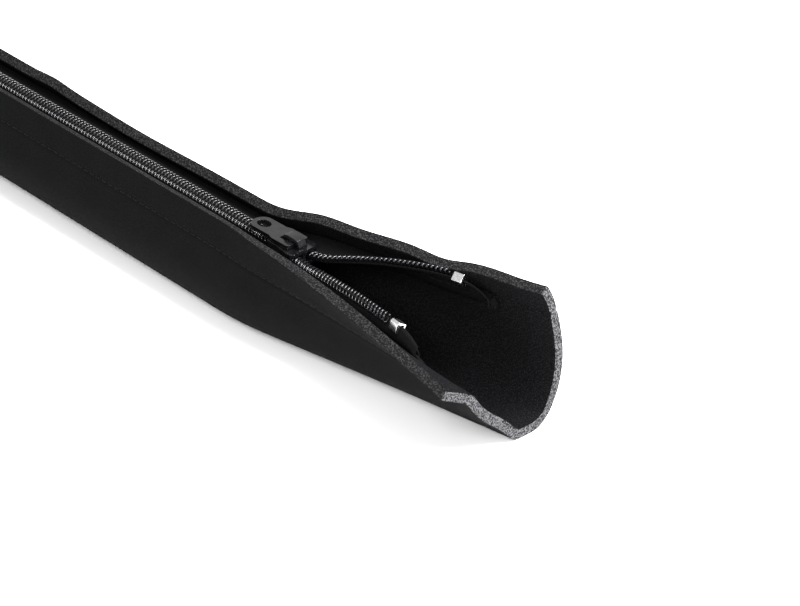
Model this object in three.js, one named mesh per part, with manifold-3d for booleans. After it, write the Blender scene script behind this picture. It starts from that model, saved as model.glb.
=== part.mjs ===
// Zippered cable sleeve: a foam sheet rolled into a tube, with a coil zip sewn inside its two long edges.
// Frame: +X runs along the tube towards the open mouth, +Y away from the near edge, +Z up. The origin is
// on the surface that the sleeve lies on, under the closed chain at the slider's front end.
import * as THREE from "three";
import { mergeVertices } from "three/addons/utils/BufferGeometryUtils.js";
import Module from "manifold-3d";

// Sheet, in millimetres and degrees.
const SLEEVE_LENGTH = 500;
const ORIGIN_BEHIND = 40; // the origin lies under the closed roll, this far behind the slider's front end
const MOUTH_LENGTH = 77.5; // from the slider's front end to the open mouth
const SHEET_WIDTH = 88; // flat width between the two cut edges
const NEAR_SHARE = 0.449; // share of that width on the near side of the roll's lowest line
const SHEET_THICKNESS = 3.1;
const TUBE_RADIUS = 13.4; // outer radius of the roll where the zip is closed
const NEAR_REST = 1.8; // flat strip that the soft roll settles on, to each side of its lowest line
const FAR_REST = 7.2;
const OPENED_REST = 1.5; // half of the flat strip that is left where the roll opens
const OPENING_START = -29; // where the roll begins to open, measured from the slider's front end
const OPENING_EASE = 12; // length over which that opening builds up
const OPENING_CURVE = 0.93; // under 1, the roll opens faster at the mouth than behind the slider
const BEND_START = -26;
const BEND_EASE = 20;
const BEND_ANGLE = 8.4; // turn of the opened end towards +Y

// Facets of the sheet and the tapes.
const STRAIGHT_STEP = 200;
const OPENED_STEP = 5.5;
const LIP_CELLS = 2; // across the strip between a cut edge and its seam
const WALL_CELLS = 9; // from a seam down to the rest strip
const SPAN_CELLS = 6; // across the free tape between its seam and the coil

// Zip.
const TAPE_THICKNESS = 0.5;
const SEAM_DEPTH = 8; // from a cut edge of the sheet down to the seam that holds the tape
const TAPE_BELOW_SEAM = 4;
const TAPE_END_INSET = 8; // the tapes start this far inside the closed end
const TAIL_LENGTH = 8; // tape left beyond each top stop
const CHAIN_DEPTH = 1.2; // the chain's top lies this far below the inner corners of the two edges
const COIL_PITCH = 1.5;
const COIL_HALF_WIDTH = 2.9;
const COIL_HEIGHT = 1.8;
const COIL_OVERLAP = 0.35; // how far a head reaches past the middle of the closed chain
const COIL_END_GAP = 2.25; // between the last whole turn and its top stop
const TOOTH_DEPTH = 1.05;
const HEAD_RISE = 0.72; // height of a head above the coil's foot
const TURN_DIP = 0.6; // the coil's top drops this much between two turns
const HALF_TAPE_GAP = 0.9; // half the space between the two woven edges where the zip is closed
const OPEN_ZIP = 47; // from the slider's front end to the top stops
const STOP_LENGTH = 3.4;
const STOP_WALL = 0.6;
const STOP_GAP = 0.2; // left open between a stop and its tape
const STOP_REACH = 2.5;
const BOTTOM_STOP_LENGTH = 4;
const BOTTOM_STOP_INSET = 22;

// Slider and pull.
const SLIDER_LENGTH = 12.5;
const SLIDER_WALL = 1;
const REAR_HALF_WIDTH = 4.2;
const FRONT_HALF_WIDTH = 5;
const WIDEST_INSET = 2.5; // from the slider's front end back to its widest place
const PARALLEL_LENGTH = 5; // narrow rear part that holds the closed chain
const DIAMOND_HALF_WIDTH = 0.5;
const DIAMOND_LENGTH = 5;
const CROWN_WIDTH = 2.8;
const CROWN_LENGTH = 7.2;
const CROWN_INSET = 0.8; // from the slider's front end back to the crown
const CROWN_WINDOW = 2;
const CROWN_WALL = 1;
const PULL_LENGTH = 19;
const PULL_WIDTH = 7.8;
const PULL_THICKNESS = 1.2;
const PULL_BAR = 1.2;
const PULL_BAR_INSET = 3.6; // from the slider's front end back to the bar's middle
const PULL_SLOT_LENGTH = 4.6;
const PULL_HOLE_LENGTH = 5;
const PULL_HOLE_WIDTH = 3.6;
const PULL_CORNER = 1; // rounding of the corners beside the bar
const PULL_WIDE_LENGTH = 7; // wide part beside the bar
const PULL_TAPER_LENGTH = 2;
const PULL_WAIST = 0.6; // how much narrower the far part is, on each side
const PULL_DROOP = 1; // the tab slopes down a little from its bar

// Clearances.
const SEWN_GAP = 0.12; // between layers that are sewn together
const FIT_GAP = 0.3; // between separate hard pieces
const LIP_CLEARANCE = 0.4; // between the slider and the sheet's edges

// The sheet is walked from its near cut edge to its far one. Its lowest line is at restAt.
const WALK_STEP = 0.5;
const walkCount = Math.round(SHEET_WIDTH / WALK_STEP);
const walkStep = SHEET_WIDTH / walkCount;
const restIndex = Math.round(NEAR_SHARE * walkCount);
const restAt = restIndex * walkStep;

// Angle of the sheet at the mouth, walked from the near cut edge to the far one: distance from the near
// edge, and direction of travel above +Y. The near flange leans outwards, the far wall stands up.
const MOUTH_BENDS = [
  [0, -22],
  [SEAM_DEPTH, -30],
  [SEAM_DEPTH + 3, -58],
  [24, -39],
  [34, -50],
  [restAt - OPENED_REST, 0],
  [restAt + OPENED_REST, 0],
  [49.5, 63.5],
  [56.5, 77],
  [68.5, 96],
  [SHEET_WIDTH - SEAM_DEPTH, 100],
  [SHEET_WIDTH, 119],
];

const rad = THREE.MathUtils.degToRad;
const lerp = THREE.MathUtils.lerp;
const closedEnd = MOUTH_LENGTH - SLEEVE_LENGTH;

// Zero before start, a parabola over ease, then a straight line of slope one.
function ramp(s, start, ease) {
  const d = Math.max(0, s - start);
  return d < ease ? (d * d) / (2 * ease) : d - ease / 2;
}

// How far the roll has opened at station s: 0 where the zip is closed, 1 at the mouth.
function opening(s) {
  const share = ramp(s, OPENING_START, OPENING_EASE) / ramp(MOUTH_LENGTH, OPENING_START, OPENING_EASE);
  return 1 - Math.max(0, 1 - share) ** OPENING_CURVE;
}

// Each half of the closed section runs from its cut edge down a straight flank, round the tube, and onto
// its share of the flat strip. Its flank leans in just far enough to leave the slider its room.
const midRadius = TUBE_RADIUS - SHEET_THICKNESS / 2;
const lipHalfGap = FRONT_HALF_WIDTH + LIP_CLEARANCE;
function halfRoll(width, rest) {
  const flankOf = (lean) => width - rest - midRadius * (Math.PI / 2 + lean);
  const lipOffset = (lean) => {
    const reach = rest + midRadius * Math.cos(lean) - flankOf(lean) * Math.sin(lean);
    return reach - (SHEET_THICKNESS / 2) * Math.cos(lean);
  };
  let lean = 0;
  for (let step = rad(60) / 2; step > 1e-7; step /= 2) {
    if (flankOf(lean + step) > 0 && lipOffset(lean + step) > lipHalfGap) lean += step;
  }
  return { lean, flank: flankOf(lean) };
}
const nearRoll = halfRoll(restAt, NEAR_REST);
const farRoll = halfRoll(SHEET_WIDTH - restAt, FAR_REST);

function closedAngle(w) {
  const side = w < restAt ? -1 : 1;
  const { lean, flank } = side < 0 ? nearRoll : farRoll;
  const fromEdge = side < 0 ? w : SHEET_WIDTH - w;
  const turned = Math.min(Math.max(0, fromEdge - flank) / midRadius, Math.PI / 2 + lean);
  return side * (Math.PI / 2 + lean - turned);
}

function mouthAngle(w) {
  const i = MOUTH_BENDS.findIndex(([at], k) => k > 0 && w <= at + 1e-9);
  const [w0, a0] = MOUTH_BENDS[i - 1];
  const [w1, a1] = MOUTH_BENDS[i];
  return rad(lerp(a0, a1, (w - w0) / (w1 - w0)));
}

// The sheet's middle surface in the YZ plane of one station, as a walk from the roll's lowest line.
const sections = new Map();
function sectionOf(s) {
  if (sections.has(s)) return sections.get(s);
  const open = opening(s);
  const angles = Array.from({ length: walkCount + 1 }, (_, k) =>
    lerp(closedAngle(k * walkStep), mouthAngle(k * walkStep), open),
  );
  const y = [];
  const z = [];
  y[restIndex] = Math.tan(rad(BEND_ANGLE)) * ramp(s, BEND_START, BEND_EASE);
  z[restIndex] = SHEET_THICKNESS / 2;
  for (let k = restIndex; k < walkCount; k++) {
    const a = (angles[k] + angles[k + 1]) / 2;
    y[k + 1] = y[k] + walkStep * Math.cos(a);
    z[k + 1] = z[k] + walkStep * Math.sin(a);
  }
  for (let k = restIndex; k > 0; k--) {
    const a = (angles[k] + angles[k - 1]) / 2;
    y[k - 1] = y[k] - walkStep * Math.cos(a);
    z[k - 1] = z[k] - walkStep * Math.sin(a);
  }
  const made = { y, z, angles };
  sections.set(s, made);
  return made;
}

// Middle surface point and outward normal at station s and width w, in the YZ plane.
function sheetPoint(s, w) {
  const { y, z, angles } = sectionOf(s);
  const k = Math.min(Math.floor(w / walkStep), walkCount - 1);
  const t = w / walkStep - k;
  const a = lerp(angles[k], angles[k + 1], t);
  return { y: lerp(y[k], y[k + 1], t), z: lerp(z[k], z[k + 1], t), normal: [Math.sin(a), -Math.cos(a)], a };
}

// A fibre of the sheet keeps its length, so one that spreads sideways gets less far along X.
const fibres = new Map();
function fibreX(s, w) {
  if (s <= OPENING_START) return s;
  const key = w.toFixed(2);
  if (!fibres.has(key)) {
    const xs = [OPENING_START];
    for (let at = OPENING_START; at < MOUTH_LENGTH + 1; at++) {
      const p = sheetPoint(at, w);
      const q = sheetPoint(at + 1, w);
      xs.push(xs[xs.length - 1] + Math.sqrt(Math.max(0, 1 - (q.y - p.y) ** 2 - (q.z - p.z) ** 2)));
    }
    fibres.set(key, xs);
  }
  const xs = fibres.get(key);
  const k = Math.floor(s - OPENING_START);
  return lerp(xs[k], xs[k + 1], s - OPENING_START - k);
}

// A flat plate of i by j cells, bent by place(i, j, side), where side is -0.5 or 0.5 through the plate.
function bentPlate(cellsLong, cellsWide, place) {
  const geometry = new THREE.BoxGeometry(cellsLong, cellsWide, 1, cellsLong, cellsWide, 1);
  geometry.translate(cellsLong / 2, cellsWide / 2, 0);
  const position = geometry.attributes.position;
  for (let n = 0; n < position.count; n++) {
    const at = place(Math.round(position.getX(n)), Math.round(position.getY(n)), position.getZ(n));
    position.setXYZ(n, at.x, at.y, at.z);
  }
  return mergedOf(geometry);
}

// Vertices are snapped to a fine grid first, so that two copies of one corner always merge.
const GRID = 1 / 1024;
function mergedOf(geometry) {
  geometry.deleteAttribute("normal");
  geometry.deleteAttribute("uv");
  const { array } = geometry.attributes.position;
  array.forEach((value, n) => (array[n] = Math.round(value / GRID) * GRID));
  return mergeVertices(geometry, GRID / 4);
}

// Stations along the sleeve: long steps where it is straight, short ones where it opens.
function stations(from, to) {
  const list = [];
  const straight = Math.max(0, Math.min(to, OPENING_START) - from);
  const longCount = Math.ceil(straight / STRAIGHT_STEP);
  for (let k = 0; k < longCount; k++) list.push(from + (straight * k) / longCount);
  const curvedFrom = Math.max(from, OPENING_START);
  const shortCount = Math.ceil((to - curvedFrom) / OPENED_STEP);
  for (let k = 0; k <= shortCount; k++) list.push(lerp(curvedFrom, to, k / shortCount));
  return list;
}

function neopreneSleeve() {
  const along = stations(closedEnd, MOUTH_LENGTH);
  const across = [];
  for (let k = 0; k < LIP_CELLS; k++) across.push((SEAM_DEPTH * k) / LIP_CELLS);
  for (let k = 0; k < WALL_CELLS; k++) across.push(lerp(SEAM_DEPTH, restAt - NEAR_REST, k / WALL_CELLS));
  across.push(restAt - NEAR_REST, restAt - OPENED_REST, restAt + OPENED_REST);
  across.push(restAt + FAR_REST / 2, restAt + FAR_REST);
  const farSeam = SHEET_WIDTH - SEAM_DEPTH;
  for (let k = 1; k <= WALL_CELLS; k++) across.push(lerp(restAt + FAR_REST, farSeam, k / WALL_CELLS));
  for (let k = 1; k <= LIP_CELLS; k++) across.push(farSeam + (SEAM_DEPTH * k) / LIP_CELLS);
  return bentPlate(along.length - 1, across.length - 1, (i, j, side) => {
    const p = sheetPoint(along[i], across[j]);
    const lift = -side * SHEET_THICKNESS;
    return {
      x: fibreX(along[i], across[j]),
      y: p.y + lift * p.normal[0],
      z: p.z + lift * p.normal[1],
    };
  });
}

// The zip's two halves mirror each other where it is closed. side is -1 for the near half, 1 for the far
// one. Across the section they use out, the distance away from the middle of the chain, and z.
const seamWidth = (side) => (side < 0 ? SEAM_DEPTH : SHEET_WIDTH - SEAM_DEPTH);
const lipInner = (() => {
  const p = sheetPoint(closedEnd, 0);
  return p.z - (SHEET_THICKNESS / 2) * p.normal[1];
})();
const tapeLevel = lipInner - CHAIN_DEPTH - COIL_HEIGHT - SEWN_GAP - TAPE_THICKNESS / 2;

// The woven edge that carries the coil: its place and its lean at station s. It stays level on the closed
// chain, is parted by the slider, and stands up with its wall of the roll as the zip opens.
const PARTING_START = 1.5 - SLIDER_LENGTH;
const PARTING_EASE = 6;
const PARTING_SLOPE = 0.17;
const FREE_EASE = 8; // length over which the freed chain turns towards its stop
const FREE_CURVE = 1.6;
// Place of a tape's woven edge at its stop, measured from the seam there, and its lean.
const EDGE_FROM_SEAM = {
  near: { y: 2.4, z: 7.78, lean: 62 },
  far: { y: -6.17, z: 3.18, lean: 46 },
};
function edgeAtStop(side) {
  const from = side < 0 ? EDGE_FROM_SEAM.near : EDGE_FROM_SEAM.far;
  const seam = sheetPoint(OPEN_ZIP + STOP_LENGTH, seamWidth(side));
  return { y: seam.y + from.y, z: seam.z + from.z, lean: from.lean };
}
const nearEdgeEnd = edgeAtStop(-1);
const farEdgeEnd = edgeAtStop(1);
function parting(s, side) {
  return side * (HALF_TAPE_GAP + PARTING_SLOPE * ramp(s, PARTING_START, PARTING_EASE));
}
function coilEdge(s, side) {
  const end = side < 0 ? nearEdgeEnd : farEdgeEnd;
  const share = Math.min(1, ramp(s, 0, FREE_EASE) / ramp(OPEN_ZIP + STOP_LENGTH, 0, FREE_EASE));
  const turned = 1 - (1 - share) ** FREE_CURVE;
  const lean = rad(end.lean * turned);
  return {
    x: fibreX(s, seamWidth(side)),
    y: parting(s, side) + (end.y - parting(OPEN_ZIP, side)) * turned,
    z: lerp(tapeLevel, end.z, turned),
    towards: [-side * Math.cos(lean), Math.sin(lean)],
    up: [side * Math.sin(lean), Math.cos(lean)],
  };
}

// A point of the coil's own frame: back is the distance from the woven edge, rise the height above it.
function onEdge(s, side, back, rise) {
  const e = coilEdge(s, side);
  return new THREE.Vector3(e.x, e.y - back * e.towards[0] + rise * e.up[0], e.z - back * e.towards[1] + rise * e.up[1]);
}

// The tape's section: up the inner face from its back edge to the seam, over to the coil, and under it.
function tapeSection(s, side) {
  const inner = SHEET_THICKNESS / 2 + SEWN_GAP + TAPE_THICKNESS / 2 + SEWN_GAP;
  const seam = seamWidth(side);
  const onSheet = (below) => {
    const p = sheetPoint(s, seam - side * below);
    return new THREE.Vector2(p.y - inner * p.normal[0], p.z - inner * p.normal[1]);
  };
  const low = onSheet(TAPE_BELOW_SEAM);
  const lowMiddle = onSheet(TAPE_BELOW_SEAM / 2);
  const atSeam = onSheet(0);
  const e = coilEdge(s, side);
  const edge = new THREE.Vector2(e.y, e.z);
  const towards = new THREE.Vector2(...e.towards);
  const underCoil = edge.clone().addScaledVector(towards, -COIL_HALF_WIDTH + HALF_TAPE_GAP);
  const reach = atSeam.distanceTo(underCoil) * 0.45;
  const rise = atSeam.clone().sub(lowMiddle).normalize();
  const span = new THREE.CubicBezierCurve(
    atSeam,
    atSeam.clone().addScaledVector(rise, reach),
    underCoil.clone().addScaledVector(towards, -reach),
    underCoil,
  );
  return [low, lowMiddle, ...span.getPoints(SPAN_CELLS), edge];
}

function zipTape(side) {
  const along = stations(closedEnd + TAPE_END_INSET, OPEN_ZIP + STOP_LENGTH + TAIL_LENGTH);
  const rows = along.map((s) => tapeSection(s, side));
  return bentPlate(along.length - 1, rows[0].length - 1, (i, j, through) => {
    const row = rows[i];
    const before = row[Math.max(0, j - 1)];
    const after = row[Math.min(row.length - 1, j + 1)];
    const run = after.clone().sub(before).normalize();
    const lift = through * TAPE_THICKNESS;
    return {
      x: fibreX(along[i], seamWidth(side)),
      y: row[j].x - lift * run.y,
      z: row[j].y + lift * run.x,
    };
  });
}

// One nylon coil, as a ribbed bar of triangular section: each turn is a rib whose head reaches inwards.
function zipCoil(side) {
  const start = bottomStopFront + FIT_GAP + (side > 0 ? COIL_PITCH / 2 : 0);
  const turns = Math.floor((OPEN_ZIP - COIL_END_GAP - start) / COIL_PITCH);
  const corners = new THREE.Shape([new THREE.Vector2(0, 0), new THREE.Vector2(2, 0), new THREE.Vector2(1, 1)]);
  const rings = 2 * turns + 1;
  const geometry = new THREE.ExtrudeGeometry(corners, { depth: rings, steps: rings, bevelEnabled: false });
  const position = geometry.attributes.position;
  const foot = TAPE_THICKNESS / 2 + SEWN_GAP;
  const head = -HALF_TAPE_GAP - COIL_OVERLAP;
  for (let n = 0; n < position.count; n++) {
    const ring = Math.round(position.getZ(n));
    const corner = Math.round(position.getX(n));
    const valley = ring % 2 === 0 ? 1 : 0;
    const back = [head + valley * TOOTH_DEPTH, HALF_TAPE_GAP / 2, COIL_HALF_WIDTH - HALF_TAPE_GAP][corner];
    const rise = [foot + HEAD_RISE, foot + COIL_HEIGHT - valley * TURN_DIP, foot][corner];
    const at = onEdge(start + (ring * COIL_PITCH) / 2, side, back, rise);
    position.setXYZ(n, at.x, at.y, at.z);
  }
  const made = mergedOf(geometry);
  if (side < 0) turnOver(made);
  return made;
}

function turnOver(geometry) {
  const index = geometry.index;
  for (let n = 0; n < index.count; n += 3) {
    const kept = index.getX(n + 1);
    index.setX(n + 1, index.getX(n + 2));
    index.setX(n + 2, kept);
  }
}

// Solids for cutting and joining.
const wasm = await Module();
wasm.setup();

function solidOf(geometry) {
  const merged = mergedOf(geometry);
  return new wasm.Manifold(
    new wasm.Mesh({
      numProp: 3,
      vertProperties: Float32Array.from(merged.attributes.position.array),
      triVerts: Uint32Array.from(merged.index.array),
    }),
  );
}

function geometryOf(solid) {
  const { vertProperties, triVerts } = solid.getMesh();
  return new THREE.BufferGeometry()
    .setAttribute("position", new THREE.BufferAttribute(vertProperties, 3))
    .setIndex(new THREE.BufferAttribute(triVerts, 1));
}

// An outline in X and Y, raised from one level to another.
function raised(points, low, high, holes = []) {
  const shape = new THREE.Shape(points.map(([x, y]) => new THREE.Vector2(x, y)));
  shape.holes.push(...holes);
  const geometry = new THREE.ExtrudeGeometry(shape, { depth: high - low, bevelEnabled: false, curveSegments: 8 });
  return geometry.translate(0, 0, low);
}

// An outline in X and Z, given a width across Y.
function acrossY(points, width) {
  const shape = new THREE.Shape(points.map(([x, z]) => new THREE.Vector2(x, z)));
  const geometry = new THREE.ExtrudeGeometry(shape, { depth: width, bevelEnabled: false });
  return geometry.rotateX(Math.PI / 2).translate(0, width / 2, 0);
}

// Both sides of an outline that mirrors across the X axis.
function mirrored(half) {
  return [...half, ...half.map(([x, y]) => [x, -y]).reverse()];
}

// Levels of the slider, from the tape up and down.
const slotHalf = TAPE_THICKNESS / 2 + FIT_GAP;
const chainTop = tapeLevel + TAPE_THICKNESS / 2 + SEWN_GAP + COIL_HEIGHT;
const plateUnder = chainTop + FIT_GAP;
const plateTop = plateUnder + SLIDER_WALL;
const floorTop = tapeLevel - slotHalf;
const floorUnder = floorTop - SLIDER_WALL;
const barCentre = new THREE.Vector3(-PULL_BAR_INSET, 0, plateTop + FIT_GAP + PULL_THICKNESS / 2);

function sliderBody() {
  const front = 0;
  const rear = -SLIDER_LENGTH;
  const outline = [
    [rear, REAR_HALF_WIDTH - 1],
    [rear + 1, REAR_HALF_WIDTH],
    [rear + PARALLEL_LENGTH, REAR_HALF_WIDTH],
    [front - WIDEST_INSET, FRONT_HALF_WIDTH],
    [front - 0.8, FRONT_HALF_WIDTH - 0.2],
    [front, FRONT_HALF_WIDTH - 1.2],
  ];
  const channel = [
    [rear - 1, COIL_HALF_WIDTH + FIT_GAP],
    [rear + PARALLEL_LENGTH, COIL_HALF_WIDTH + FIT_GAP],
    [front + 1, FRONT_HALF_WIDTH - SLIDER_WALL * 0.35],
  ];
  const diamond = [
    [front - DIAMOND_LENGTH, 0.05],
    [front - 3, DIAMOND_HALF_WIDTH * 0.5],
    [front - 1, DIAMOND_HALF_WIDTH],
    [front - 0.3, DIAMOND_HALF_WIDTH],
  ];
  const slot = [
    [rear - 1, FRONT_HALF_WIDTH + 1],
    [front + 1, FRONT_HALF_WIDTH + 1],
  ];
  const crownFront = -CROWN_INSET;
  const crownRear = crownFront - CROWN_LENGTH;
  const windowTop = plateTop + CROWN_WINDOW;
  const crown = [
    [crownRear, plateTop - 0.5],
    [crownFront, plateTop - 0.5],
    [crownFront, plateTop + CROWN_WINDOW * 0.5],
    [crownFront - 0.9, windowTop + CROWN_WALL * 0.7],
    [crownFront - 2.4, windowTop + CROWN_WALL],
    [crownRear + 2, windowTop + CROWN_WALL],
    [crownRear + 0.6, windowTop + CROWN_WALL * 0.7],
    [crownRear, windowTop - 0.4],
  ];
  const window = [
    [crownRear + CROWN_WALL, plateTop],
    [crownFront - CROWN_WALL, plateTop],
    [crownFront - CROWN_WALL - 0.6, windowTop],
    [crownRear + CROWN_WALL, windowTop],
  ];
  const bow = solidOf(acrossY(crown, CROWN_WIDTH)).subtract(solidOf(acrossY(window, CROWN_WIDTH + 2)));
  const body = solidOf(raised(mirrored(outline), floorUnder, plateTop))
    .subtract(solidOf(raised(mirrored(channel), floorTop, plateUnder)))
    .subtract(solidOf(raised(mirrored(slot), floorTop, tapeLevel + slotHalf)))
    .add(solidOf(raised(mirrored(diamond), floorTop - SLIDER_WALL / 2, plateUnder + SLIDER_WALL / 2)))
    .add(bow);
  return geometryOf(body);
}

// The tab lies over the closed chain. It is drawn around its bar, and the mesh is then set on the bar.
function pullTab() {
  const half = PULL_WIDTH / 2;
  const barEnd = PULL_BAR / 2;
  const tip = barEnd - PULL_LENGTH;
  const outline = new THREE.Shape();
  const narrow = half - PULL_WAIST;
  outline.moveTo(barEnd, PULL_CORNER - half);
  outline.lineTo(barEnd, half - PULL_CORNER);
  outline.quadraticCurveTo(barEnd, half, barEnd - PULL_CORNER, half);
  outline.lineTo(barEnd - PULL_WIDE_LENGTH, half);
  outline.lineTo(barEnd - PULL_WIDE_LENGTH - PULL_TAPER_LENGTH, narrow);
  outline.lineTo(tip + half, narrow);
  outline.absarc(tip + narrow, 0, narrow, Math.PI / 2, (3 * Math.PI) / 2, false);
  outline.lineTo(barEnd - PULL_WIDE_LENGTH - PULL_TAPER_LENGTH, -narrow);
  outline.lineTo(barEnd - PULL_WIDE_LENGTH, -half);
  outline.lineTo(barEnd - PULL_CORNER, -half);
  outline.quadraticCurveTo(barEnd, -half, barEnd, PULL_CORNER - half);
  const slotHalfWidth = CROWN_WIDTH / 2 + FIT_GAP * 2;
  const slot = new THREE.Path([
    new THREE.Vector2(-barEnd, -slotHalfWidth),
    new THREE.Vector2(-barEnd - PULL_SLOT_LENGTH, -slotHalfWidth),
    new THREE.Vector2(-barEnd - PULL_SLOT_LENGTH, slotHalfWidth),
    new THREE.Vector2(-barEnd, slotHalfWidth),
  ]);
  const hole = new THREE.Path();
  hole.absellipse(tip + 1.6 + PULL_HOLE_LENGTH / 2, 0, PULL_HOLE_LENGTH / 2, PULL_HOLE_WIDTH / 2, 0, 2 * Math.PI);
  outline.holes.push(slot, hole);
  const geometry = new THREE.ExtrudeGeometry(outline, { depth: PULL_THICKNESS, bevelEnabled: false, curveSegments: 8 });
  return mergedOf(geometry.translate(0, 0, -PULL_THICKNESS / 2));
}

// A stop's section, in back and rise: a clip folded over the woven edge, open at the back.
function clipOutline(reach) {
  const inside = TAPE_THICKNESS / 2 + STOP_GAP;
  const thick = inside + STOP_WALL;
  return [
    [reach, inside],
    [-FIT_GAP, inside],
    [-FIT_GAP, -inside],
    [reach, -inside],
    [reach, -thick],
    [-FIT_GAP - STOP_WALL + 0.2, -thick],
    [-FIT_GAP - STOP_WALL, -thick + 0.2],
    [-FIT_GAP - STOP_WALL, thick + 0.4],
    [-FIT_GAP, thick + 0.9],
    [reach - 0.5, thick + 0.6],
    [reach, thick],
  ];
}

function topStop(side) {
  const s = OPEN_ZIP + STOP_LENGTH / 2;
  const e = coilEdge(s, side);
  const ahead = coilEdge(s + 1, side);
  const behind = coilEdge(s - 1, side);
  const run = new THREE.Vector3(ahead.x - behind.x, ahead.y - behind.y, ahead.z - behind.z).normalize();
  const up = new THREE.Vector3(0, ...e.up);
  up.addScaledVector(run, -up.dot(run)).normalize();
  const back = new THREE.Vector3().crossVectors(up, run).normalize();
  if (back.y * -e.towards[0] + back.z * -e.towards[1] < 0) back.negate();
  const shape = new THREE.Shape(clipOutline(STOP_REACH).map(([b, r]) => new THREE.Vector2(b, r)));
  const geometry = new THREE.ExtrudeGeometry(shape, { depth: STOP_LENGTH, bevelEnabled: false });
  const position = geometry.attributes.position;
  const origin = new THREE.Vector3(e.x, e.y, e.z);
  for (let n = 0; n < position.count; n++) {
    const at = origin
      .clone()
      .addScaledVector(back, position.getX(n))
      .addScaledVector(up, position.getY(n))
      .addScaledVector(run, position.getZ(n) - STOP_LENGTH / 2);
    position.setXYZ(n, at.x, at.y, at.z);
  }
  const made = mergedOf(geometry);
  if (side < 0) turnOver(made);
  return made;
}

const bottomStopFront = closedEnd + BOTTOM_STOP_INSET + BOTTOM_STOP_LENGTH;
function bottomStop() {
  const inside = TAPE_THICKNESS / 2 + STOP_GAP;
  const web = HALF_TAPE_GAP - FIT_GAP;
  const reach = HALF_TAPE_GAP + STOP_REACH;
  const half = [
    [web, -inside],
    [reach, -inside],
    [reach, -inside - STOP_WALL],
  ];
  const upper = [
    [reach - 0.6, inside + STOP_WALL * 2],
    [reach, inside + STOP_WALL],
    [reach, inside],
    [web, inside],
  ];
  const right = [...upper, ...half];
  const outline = [...right, ...right.map(([y, z]) => [-y, z]).reverse()];
  const shape = new THREE.Shape(outline.map(([y, z]) => new THREE.Vector2(y, z)));
  const geometry = new THREE.ExtrudeGeometry(shape, { depth: BOTTOM_STOP_LENGTH, bevelEnabled: false });
  geometry.rotateX(Math.PI / 2).rotateZ(Math.PI / 2);
  return mergedOf(geometry.translate(bottomStopFront - BOTTOM_STOP_LENGTH, 0, tapeLevel));
}

const neoprene = new THREE.MeshStandardMaterial({ color: 0x17171a, roughness: 0.9, metalness: 0 });
const wovenTape = new THREE.MeshStandardMaterial({ color: 0x0c0c0d, roughness: 0.85, metalness: 0 });
const nylon = new THREE.MeshStandardMaterial({ color: 0x0e0e0f, roughness: 0.3, metalness: 0 });
const blackPaint = new THREE.MeshStandardMaterial({ color: 0x131314, roughness: 0.35, metalness: 0.4 });
const brightMetal = new THREE.MeshStandardMaterial({ color: 0xd8d8d8, roughness: 0.2, metalness: 1 });

const sleeve = new THREE.Group();
function addPiece(name, geometry, material) {
  const mesh = new THREE.Mesh(geometry, material);
  mesh.name = name;
  mesh.position.x = ORIGIN_BEHIND;
  sleeve.add(mesh);
  return mesh;
}

addPiece("neoprene_sleeve", neopreneSleeve(), neoprene);
addPiece("zip_tape_near", zipTape(-1), wovenTape);
addPiece("zip_tape_far", zipTape(1), wovenTape);
addPiece("coil_near", zipCoil(-1), nylon);
addPiece("coil_far", zipCoil(1), nylon);
addPiece("top_stop_near", topStop(-1), brightMetal);
addPiece("top_stop_far", topStop(1), brightMetal);
addPiece("bottom_stop", bottomStop(), brightMetal);
addPiece("slider_body", sliderBody(), blackPaint);
const pull = addPiece("pull_tab", pullTab(), blackPaint);
pull.position.add(barCentre);
pull.rotation.y = -rad(PULL_DROOP);

export default sleeve;
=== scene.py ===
import math
import random

import bmesh
import bpy
import numpy as np
from bpy.props import FloatProperty, FloatVectorProperty, PointerProperty
from mathutils import Matrix, Vector


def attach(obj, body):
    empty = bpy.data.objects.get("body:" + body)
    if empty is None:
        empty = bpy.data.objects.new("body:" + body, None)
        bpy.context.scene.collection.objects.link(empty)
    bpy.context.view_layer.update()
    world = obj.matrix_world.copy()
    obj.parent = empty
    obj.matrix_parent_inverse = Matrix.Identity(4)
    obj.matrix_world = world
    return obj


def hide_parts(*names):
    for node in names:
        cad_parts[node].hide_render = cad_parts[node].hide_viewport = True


bl_info = {
    "name": "Zippered cable sleeve",
    "version": (1, 0, 0),
    "blender": (4, 5, 0),
    "location": "View3D > Sidebar > Cable Sleeve",
    "description": "Dresses the packed cable sleeve: rolled foam sheet, coil zip and slider",
    "category": "Object",
}

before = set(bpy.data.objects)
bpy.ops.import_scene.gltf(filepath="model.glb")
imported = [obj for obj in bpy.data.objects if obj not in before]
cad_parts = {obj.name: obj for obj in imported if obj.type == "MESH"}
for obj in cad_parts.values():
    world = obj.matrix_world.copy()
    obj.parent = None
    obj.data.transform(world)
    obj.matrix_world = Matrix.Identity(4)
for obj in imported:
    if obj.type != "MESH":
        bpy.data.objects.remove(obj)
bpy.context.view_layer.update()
MM = 0.001  # lengths below are in millimetres unless a name or comment says otherwise

# Photograph's frame and the place of one known point in it.
IMAGE_WIDTH = 800
IMAGE_HEIGHT = 606
FOCAL_PIXELS = 3282
SENSOR_WIDTH = 36
THROAT_PIXEL = (305, 254.7)  # the closed chain's top at the slider's front end
THROAT_DISTANCE = 923
CAMERA_AZIMUTH = 48.5  # degrees that the view turns from +Y towards -X
CAMERA_ELEVATION = 31

ORIGIN_BEHIND = 40  # the frame's origin lies this far behind the slider's front end

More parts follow.
